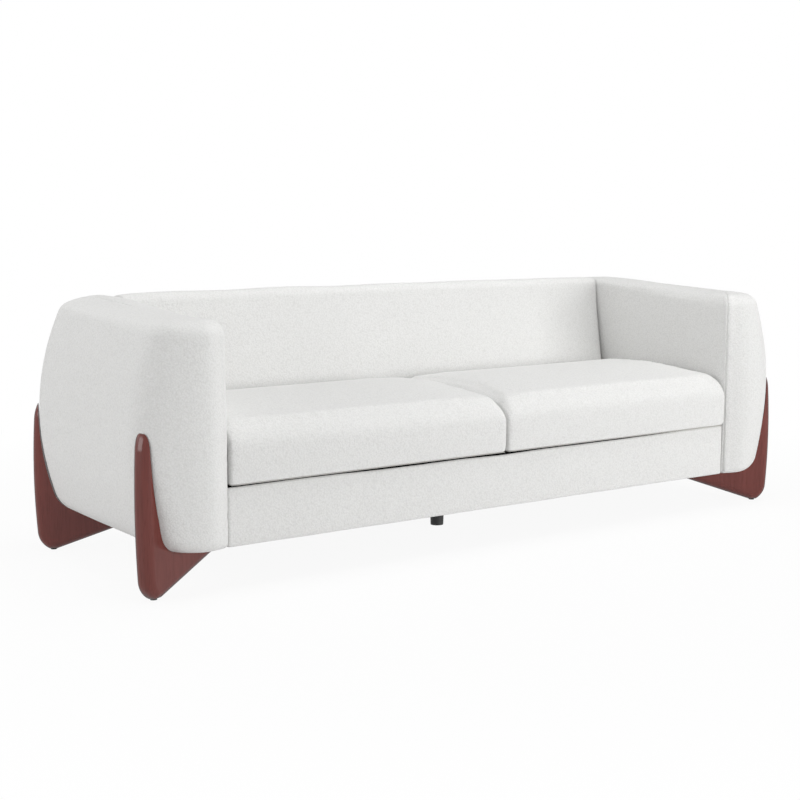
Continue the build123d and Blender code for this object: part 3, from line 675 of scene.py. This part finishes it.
def makeArm(side):
    # the arm's rings with a sewn groove, a puff and puckers along the front crease, and soft waves all over
    low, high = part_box("arm_cover_right")
    rings = armRings(low, high, arm)
    total = rings.shape[1]
    columns = armColumns(total, arm["kept"])
    away = np.minimum(columns, total - columns) * arm["ringStep"]  # distance from the front crease along the ring
    grid = rings[:, columns]
    normal = gridNormals(grid)
    rows = np.arange(grid.shape[0])
    plainLow, fullLow, plainHigh, fullHigh = arm["wallRows"]
    wall = ramp(rows, plainLow, fullLow) * ramp(grid.shape[0] - rows, plainHigh, fullHigh)
    groove = -arm["grooveDepth"] * np.exp(-((away / arm["grooveWidth"]) ** 2))
    rise, place, width = arm["puff"]
    puff = rise * np.exp(-(((away - place) / width) ** 2))
    rise, size, reach, seed = arm["ripple"]
    ripple = rise * softWaves(grid, size, seed) * np.exp(-((away / reach) ** 2))[None, :]
    press = (groove + puff)[None, :] * wall[:, None] + ripple * wall[:, None]
    flatter = np.where(grid[..., 0] < low.x + arm["innerBand"], arm["innerShare"], 1.0)
    seed = arm["waveSeeds"][0 if side > 0 else 1]
    uneven = arm["unevenness"] * softWaves(grid, arm["waveSize"], seed) * flatter
    grid = grid + normal * (press + uneven * wall[:, None])[..., None]
    grid[..., 2] = np.maximum(grid[..., 2], low.z)
    grid[..., 0] = np.maximum(grid[..., 0], low.x)
    sewn = wall[:, None] > 0.02
    seam = np.where(sewn, away[None, :], 1.0) + np.zeros(grid.shape[:2])  # a metre away where nothing is sewn
    if side < 0:
        grid = grid * np.array([-1, 1, 1])
    name = "right" if side > 0 else "left"
    piece = placeMesh(f"armUpholstery_{name}", grid, "root", seam)
    dress(piece, "boucle_fabric", *(f"arm_{part}_{name}" for part in ("cover", "padding", "nose_foam", "corner_foam")))


makeArm(1)
makeArm(-1)
print("arms upholstered")


back = dict(
    topDepth=0.193, recline=12.0, edgeRadius=0.034,
    endRadius=0.010,  # where the top turns into the arms
    endReach=0.046,  # the face curves back to an upright line beside each arm over this width
    endLine=(0.243, 0.456, 0.0265),  # that line's place, height and slope
    leastRecess=0.006,
    lift=0.003, crown=0.002,  # the top is this much fuller, and rises this much between the arms
    faceCrown=0.004, faceCrownPower=0.35,  # the padded face swells this much
    steps=dict(edge=14, face=60, shin=20, under=20),  # points on each stretch of the section
    spacing=(0.012, 0.0025, 0.01),  # between stations, near the ends, and how far beyond the curve that goes
    # each pair says where an effect sets in and over which distance it grows
    roundedAbove=(0.20, 0.06), roundedBefore=(0.045, 0.05), topAbove=(0.60, 0.12),
    faceAbove=(0.30, 0.1), faceBelow=(-0.70, 0.15), liftReach=0.05, waveReach=0.06,
    facing=(0.4, 0.95), faceOutward=-0.5,
    unevenness=0.0012, waveSize=0.30, waveSeed=21,
)


def backRecess(gap, y, z):
    # how far the face curves back at a distance from the arm: a quarter of an ellipse
    place, height, slope = back["endLine"]
    depth = np.maximum(place + (z - height) * slope - y, back["leastRecess"])
    t = np.clip(1 - gap / back["endReach"], 0, 1)
    return depth * (1 - np.sqrt(1 - t**2))


def makeBack():
    # the section is the arm's own rear profile closed by the reclined face; it is carried along the width, shrinks
    # round an arc at both ends, rises in the middle and swells on its face
    low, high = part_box("back_cover")
    outer = sideProfile(high.z, low.z, arm["cornerRadius"], arm["halfWidth"], arm["rear"])
    rear = np.stack([high.y + outer[:, 0], outer[:, 1]], axis=1)
    foot = np.array([low.y, low.z])
    hip = np.array([low.y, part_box("cushion_cover_right")[0].z])
    radius, steps = back["edgeRadius"], back["steps"]
    lean = math.radians(back["recline"])
    # the front top edge is an arc between the level top and the reclined face
    half = (math.pi / 2 + lean) / 2
    centre = (high.y - back["topDepth"] + radius / math.tan(half), high.z - radius)
    edge = arcPoints(centre, radius, math.pi / 2, math.pi - lean, steps["edge"])
    face = edge[-1] + (hip - edge[-1]) * np.linspace(0, 1, steps["face"])[1:, None]
    shin = np.linspace(hip, foot, steps["shin"])[1:]
    under = np.linspace(foot, (rear[0, 0], low.z), steps["under"])[1:-1]
    loop = np.concatenate([rear, edge, face, shin, under])
    outward = outlineNormals(loop)
    spacing, fine, beyond = back["spacing"]
    stations = stationsAlong(low.x, high.x, spacing, fine, back["endReach"] + beyond)
    gap = np.minimum(stations - low.x, high.x - stations)
    shrink = endInset(gap, back["endRadius"])
    # only the face and the top are rounded at the ends
    rise = ramp(loop[:, 1], *back["roundedAbove"])
    mask = rise * ramp(high.y - loop[:, 0], *back["roundedBefore"])
    facing = ease(-outward[:, 0], *back["facing"]) * rise
    grid, normal = carryAlong(stations, loop, outward, shrink[:, None] * (mask * (1 - facing))[None, :])
    grid[..., 1] += backRecess(gap[:, None], loop[None, :, 0], loop[None, :, 1]) * facing[None, :]
    middle = 1 - (stations / high.x) ** 2
    height = grid[..., 2]
    raised = back["lift"] * ramp(gap, 0, back["liftReach"]) + back["crown"] * middle
    grid[..., 2] += raised[:, None] * ramp(height, *back["topAbove"])
    onFace = ramp(height, *back["faceAbove"]) * ramp(-height, *back["faceBelow"])
    onFace = onFace * (outward[None, :, 0] < back["faceOutward"])
    swell = back["faceCrown"] * (middle[:, None] ** back["faceCrownPower"]) * onFace
    uneven = back["unevenness"] * softWaves(grid, back["waveSize"], back["waveSeed"])
    uneven = uneven * mask[None, :] * ramp(gap, 0, back["waveReach"])[:, None]
    grid = grid + normal * (swell + uneven)[..., None]
    grid[..., 2] = np.maximum(grid[..., 2], low.z)
    piece = placeMesh("backUpholstery", grid, "root")
    dress(piece, "boucle_fabric", "back_cover", "back_padding")


makeBack()
print("back upholstered")


rail = dict(
    edgeRadius=0.005, rearRadius=0.003, endRadius=0.009, outlineStep=0.0045,
    spacing=(0.012, 0.0015, 0.02),  # between stations, near the ends, and how far in that goes
    swell=0.0022, swellReach=0.05, endShare=0.3,  # how much even the level sides shrink at the ends
    unevenness=0.0006, waveSize=0.16, waveSeed=31,
    liftDepth=0.05,  # the front follows the top edge's height down to here
    # the top edge under the cushions: places along the width and heights
    topPlaces=(-0.92, -0.89, -0.70, -0.57, -0.44, -0.31, -0.17, -0.006, 0.13, 0.45, 0.63, 0.74, 0.92),
    topHeights=(0.2704, 0.2702, 0.2713, 0.2707, 0.2686, 0.2686, 0.2699, 0.2672, 0.2700, 0.2703, 0.2718, 0.2736, 0.2740),
    softening=15,  # heights are averaged over this many places, half a centimetre apart
    sheetFront=-0.3680,  # the black deck cloth reaches this far forward, onto the rail's top, under the cushions' front
)


def railTop(x):
    # the height of the rail's top edge: straight lines between the given places, softened by a running average
    spots = np.linspace(-1.0, 1.0, 401)
    heights = np.interp(spots, rail["topPlaces"], rail["topHeights"])
    kernel = np.hanning(rail["softening"])
    padded = np.pad(heights, rail["softening"] // 2, mode="edge")
    return np.interp(x, spots, np.convolve(padded, kernel / kernel.sum(), mode="valid"))


def makeRail():
    # a rounded oblong outline carried along the width: its front swells a little and both ends are rounded
    low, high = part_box("front_rail_cover")
    corners = [(low.y, low.z), (high.y, low.z), (high.y, high.z), (low.y, high.z)]
    front, rear = rail["edgeRadius"], rail["rearRadius"]
    loop = roundedOutline(corners, [front, rear, rear, front], rail["outlineStep"])
    outward = outlineNormals(loop)
    stations = stationsAlong(low.x, high.x, *rail["spacing"])
    gap = np.minimum(stations - low.x, high.x - stations)
    shrink = endInset(gap, rail["endRadius"])
    facing = np.clip(-outward[:, 0], 0, 1)
    share = np.clip(facing + rail["endShare"], 0, 1)
    grid, normal = carryAlong(stations, loop, outward, shrink[:, None] * share[None, :])
    lifted = ease(loop[:, 1], high.z - rail["liftDepth"], high.z)
    grid[..., 2] += (railTop(stations) - high.z)[:, None] * lifted[None, :]
    middle = np.clip(1 - ((loop[:, 1] - (low.z + high.z) / 2) / ((high.z - low.z) / 2)) ** 2, 0, 1)
    swell = rail["swell"] * middle[None, :] * facing[None, :] * ramp(gap, 0, rail["swellReach"])[:, None]
    swell = swell + rail["unevenness"] * softWaves(grid, rail["waveSize"], rail["waveSeed"]) * facing[None, :]
    grid = grid + normal * swell[..., None]
    piece = placeMesh("frontRailUpholstery", grid, "root")
    dress(piece, "boucle_fabric", "front_rail_cover", "front_rail_padding")


makeRail()
print("front rail upholstered")


cushion = dict(
    startInset=0.004, quickInset=0.001,  # how much smaller the shape is before it fills out, and when it never does
    insetShare=0.6,  # the ends are drawn in by this share of it
    rearDrop=0.011,  # the rear top edge lies this far under the top
    baseLift=0.001, frontHeight=0.157,
    frontBulge=0.004, bulgeShare=12,  # the bulge dies away over one part in this many of the depth
    crownRise=0.021, crownPower=1.3,
    cornerRadii=(0.010, 0.010, 0.022, 0.060),  # bottom front, bottom rear, top rear, top front
    splitRadii=(0.024, 0.010), sideRadii=(0.013, 0.006),  # end edges: along the top, and upright at the front
    overRange=(0.0, 0.9), behindRange=(0.2, 0.9),  # how far a face looks up, or back, to count as top or rear
    splitFall=(0.008, 0.19),  # the top falls this much towards the split, over this width
    outlineStep=0.006, spacing=(0.01, 0.002, 0.06),
    underBand=0.002, underShare=0.2,  # the lowest points shrink by this share only at the ends
    recessShares=(0.8, 0.9),  # how closely the rear follows the back's face, before and after filling
    crease=(0.018, 0.014, 0.012), creasePower=0.8,  # pressed tight this near to the seat, the arm and the split
    seatGap=0.0014, clearance=0.0003, overTop=0.006, overFront=0.004,
    voxel=0.007, pressure=4.0, frames=20, cap=0.024, settling=6,
    stiffness=18, shear=9, bending=1.5, mass=0.4, quality=6,
    outward=(-0.002, 0.007), sideways=0.2,  # how much of the swelling is kept
)


def cushionShell(low, high):
    # a rounded four-sided section whose front bulges and whose top is crowned; along the width it shrinks round arcs
    # at both ends, wide ones along the top and tight ones at the front
    inset = cushion["startInset"]
    slope = math.tan(math.radians(back["recline"]))
    rearTop = high.z - cushion["rearDrop"]
    front, rear = low.y + cushion["frontBulge"] + inset, high.y - inset
    frontTop = low.z + cushion["frontHeight"] - inset
    rearLow = rear - (rearTop - low.z) * slope
    base = low.z + cushion["baseLift"]
    corners = [(front, base), (rearLow, base), (rear, rearTop - inset), (front, frontTop)]
    loop = roundedOutline(corners, cushion["cornerRadii"], cushion["outlineStep"])
    lift = ramp(loop[:, 1], base, frontTop - base)
    along = (loop[:, 0] - front) / (rear - front)
    loop[:, 1] += cushion["crownRise"] * np.clip(4 * along * (1 - along), 0, 1) ** cushion["crownPower"] * lift**2
    bulge = np.clip(1 - (2 * lift - 1) ** 2, 0, 1) * np.clip(1 - along * cushion["bulgeShare"], 0, 1)
    loop[:, 0] -= cushion["frontBulge"] * bulge
    outward = outlineNormals(loop)
    start, end = low.x + inset * cushion["insetShare"], high.x - inset * cushion["insetShare"]
    stations = stationsAlong(start, end, *cushion["spacing"])
    over = ease(outward[:, 1], *cushion["overRange"])
    (splitTop, splitFront), (sideTop, sideFront) = cushion["splitRadii"], cushion["sideRadii"]
    topShrink = endInset(stations - start, splitTop) + endInset(end - stations, sideTop)
    frontShrink = endInset(stations - start, splitFront) + endInset(end - stations, sideFront)
    shrink = topShrink[:, None] * over[None, :] + frontShrink[:, None] * (1 - over[None, :])
    shrink = shrink * np.where(loop[:, 1] < base + cushion["underBand"], cushion["underShare"], 1.0)[None, :]
    fall, width = cushion["splitFall"]
    falling = fall * np.clip(1 - (stations - start) / width, 0, 1) ** 2
    grid = carryAlong(stations, loop, outward, shrink)[0]
    grid[..., 2] -= falling[:, None] * (lift**2)[None, :]
    behind = ease(outward[:, 0], *cushion["behindRange"])[None, :]
    recess = backRecess((high.x - stations)[:, None], loop[None, :, 0], loop[None, :, 1])
    grid[..., 1] += cushion["recessShares"][0] * recess * behind
    return grid


def fillCushion(piece):
    # the shell is remeshed evenly and blown up as cloth; of each point's movement, capped, the outward part is held
    # between two limits and the sideways part is reduced
    voxel = piece.modifiers.new("even", "REMESH")
    voxel.mode = "VOXEL"
    voxel.voxel_size = cushion["voxel"]
    applyModifiers(piece)
    rest = meshPoints(piece.data)
    normals = readVectors(piece.data.vertex_normals, "vector", len(rest))
    puffed = piece.modifiers.new("fill", "CLOTH")
    settings = puffed.settings
    settings.quality = cushion["quality"]
    settings.mass = cushion["mass"]
    settings.tension_stiffness = settings.compression_stiffness = cushion["stiffness"]
    settings.shear_stiffness = cushion["shear"]
    settings.bending_stiffness = cushion["bending"]
    settings.use_pressure = True
    settings.uniform_pressure_force = cushion["pressure"]
    settings.effector_weights.gravity = 0
    puffed.collision_settings.use_collision = False
    puffed.point_cache.frame_start = 1
    puffed.point_cache.frame_end = cushion["frames"]
    for step in range(1, cushion["frames"] + 1):
        scene.frame_set(step)
    applyModifiers(piece)
    scene.frame_set(1)
    travel = meshPoints(piece.data) - rest
    length = np.linalg.norm(travel, axis=1, keepdims=True)
    print("  cushion swelled by up to", round(float(length.max()) * 1000, 1), "mm")
    capped = travel * np.minimum(1, cushion["cap"] / np.maximum(length, 1e-9))
    outward = (capped * normals).sum(axis=1, keepdims=True)
    along = capped - outward * normals
    writePoints(piece.data, rest + np.clip(outward, *cushion["outward"]) * normals + along * cushion["sideways"])


def applyModifiers(piece):
    # the mesh is replaced by what its modifiers make of it
    evaluated = piece.evaluated_get(bpy.context.evaluated_depsgraph_get())
    mesh = bpy.data.meshes.new_from_object(evaluated)
    piece.modifiers.clear()
    old = piece.data
    piece.data = mesh
    mesh.name = old.name
    bpy.data.meshes.remove(old)


def readVectors(items, label, count):
    values = np.zeros(count * 3, np.float32)
    items.foreach_get(label, values)
    return values.reshape(-1, 3).astype(float)


def meshPoints(mesh):
    return readVectors(mesh.vertices, "co", len(mesh.vertices))


def writePoints(mesh, points):
    mesh.vertices.foreach_set("co", points.astype(np.float32).reshape(-1))
    mesh.update()


def pressTight(place, gap, width):
    # moved towards an edge by the share 1 - (gap / width) ** creasePower of the gap to it
    gap = np.clip(gap, 0, None)
    return place + gap * (1 - np.clip(gap / width, 0, 1) ** cushion["creasePower"])


def seatCushion(piece, low, high):
    # the filled cushion is pressed against its neighbours: never past the seat, the back, the arm or the split
    points = meshPoints(piece.data)
    x, y, z = points.T.copy()
    seat, clearance = low.z + cushion["seatGap"], cushion["clearance"]
    seatWidth, armWidth, splitWidth = cushion["crease"]
    z = -pressTight(-z, z - seat, seatWidth)
    x = pressTight(x, high.x - x, armWidth)
    x = -pressTight(-x, x - low.x, splitWidth)
    slope = math.tan(math.radians(back["recline"]))
    face = high.y - (high.z - cushion["rearDrop"] - z) * slope
    face = face + cushion["recessShares"][1] * backRecess(high.x - x, face, z)
    y = np.minimum(y, face - clearance)
    x = np.clip(x, low.x + clearance, high.x - clearance)
    z = np.clip(z, seat, high.z + cushion["overTop"])
    y = np.maximum(y, low.y - cushion["overFront"])
    writePoints(piece.data, np.stack([x, y, z], axis=1))


def makeCushion(name, side):
    # both cushions are worked out on the right; the left one is the mirror image
    low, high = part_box("cushion_cover_right")
    piece = placeMesh(f"seatCushion_{name}", cushionShell(low, high), f"seat_cushion_{name}")
    fillCushion(piece)
    settle = piece.modifiers.new("settle", "SMOOTH")
    settle.factor, settle.iterations = 0.5, cushion["settling"]
    piece.modifiers.new("smooth", "SUBSURF").levels = 1
    applyModifiers(piece)
    seatCushion(piece, low, high)
    if side < 0:
        writePoints(piece.data, meshPoints(piece.data) * np.array([-1, 1, 1]))
        piece.data.flip_normals()
    piece.data.polygons.foreach_set("use_smooth", np.ones(len(piece.data.polygons), bool))
    dress(piece, "boucle_fabric", f"cushion_cover_{name}", f"cushion_core_{name}")


makeCushion("right", 1)
makeCushion("left", -1)
print("cushions filled")


sheets = dict(
    spacing=0.02, thickness=0.0012,
    slope=0.008, frontRows=6, clearance=0.0003,  # the part in front runs down to just above the rail's top
    panelInset=0.004,  # the underside panels stop this far inside the cushions' outline
)


def makeSheet(name, nodeName, slotName, body, inset=0.0, front=None):
    # a grid over the solid's outline, closed by the same grid lower down; a sheet with a front place is carried
    # forward to it and slopes down onto the rail's top
    low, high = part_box(nodeName)
    thick = sheets["thickness"]
    across, along = (
        np.linspace(first + inset, last - inset, int((last - first) / sheets["spacing"]) + 1)
        for first, last in ((low.x, high.x), (low.y, high.y)))
    if front is not None:
        along = np.concatenate([np.linspace(front, low.y - sheets["slope"] / 2, sheets["frontRows"]), along])
    x, y = np.meshgrid(across, along, indexing="ij")
    height = np.full(x.shape, low.z + thick)
    if front is not None:
        onRail = railTop(x) + thick + sheets["clearance"]
        height = height + (onRail - height) * ease(-y, -low.y, -low.y + sheets["slope"])
    top = np.stack([x, y, height], axis=2)
    bottom = top - np.array([0, 0, thick])
    rows, columns = x.shape
    index = np.arange(rows * columns).reshape(rows, columns)
    cells = np.stack([index[:-1, :-1], index[1:, :-1], index[1:, 1:], index[:-1, 1:]], axis=-1).reshape(-1, 4)
    rim = np.concatenate([index[0, :-1], index[:-1, -1], index[-1, :0:-1], index[:0:-1, 0]])
    following = np.roll(rim, -1)
    lower = rows * columns
    edge = np.stack([rim, following, following + lower, rim + lower], axis=1)
    faces = np.concatenate([cells, cells[:, ::-1] + lower, edge]).tolist()
    piece = placeMesh(name, np.concatenate([top.reshape(-1, 3), bottom.reshape(-1, 3)]), body, faces=faces)
    dress(piece, slotName, nodeName)


makeSheet("deckSheet", "deck_cloth", "black_cloth", "root", front=rail["sheetFront"])
makeSheet("dustSheet", "dust_cover", "black_cloth", "root")
inset = sheets["panelInset"]
makeSheet("undersidePanel_left", "cushion_underside_left", "lining_fabric", "seat_cushion_left", inset)
makeSheet("undersidePanel_right", "cushion_underside_right", "lining_fabric", "seat_cushion_right", inset)
print("sheets stretched")


bpy.context.view_layer.update()
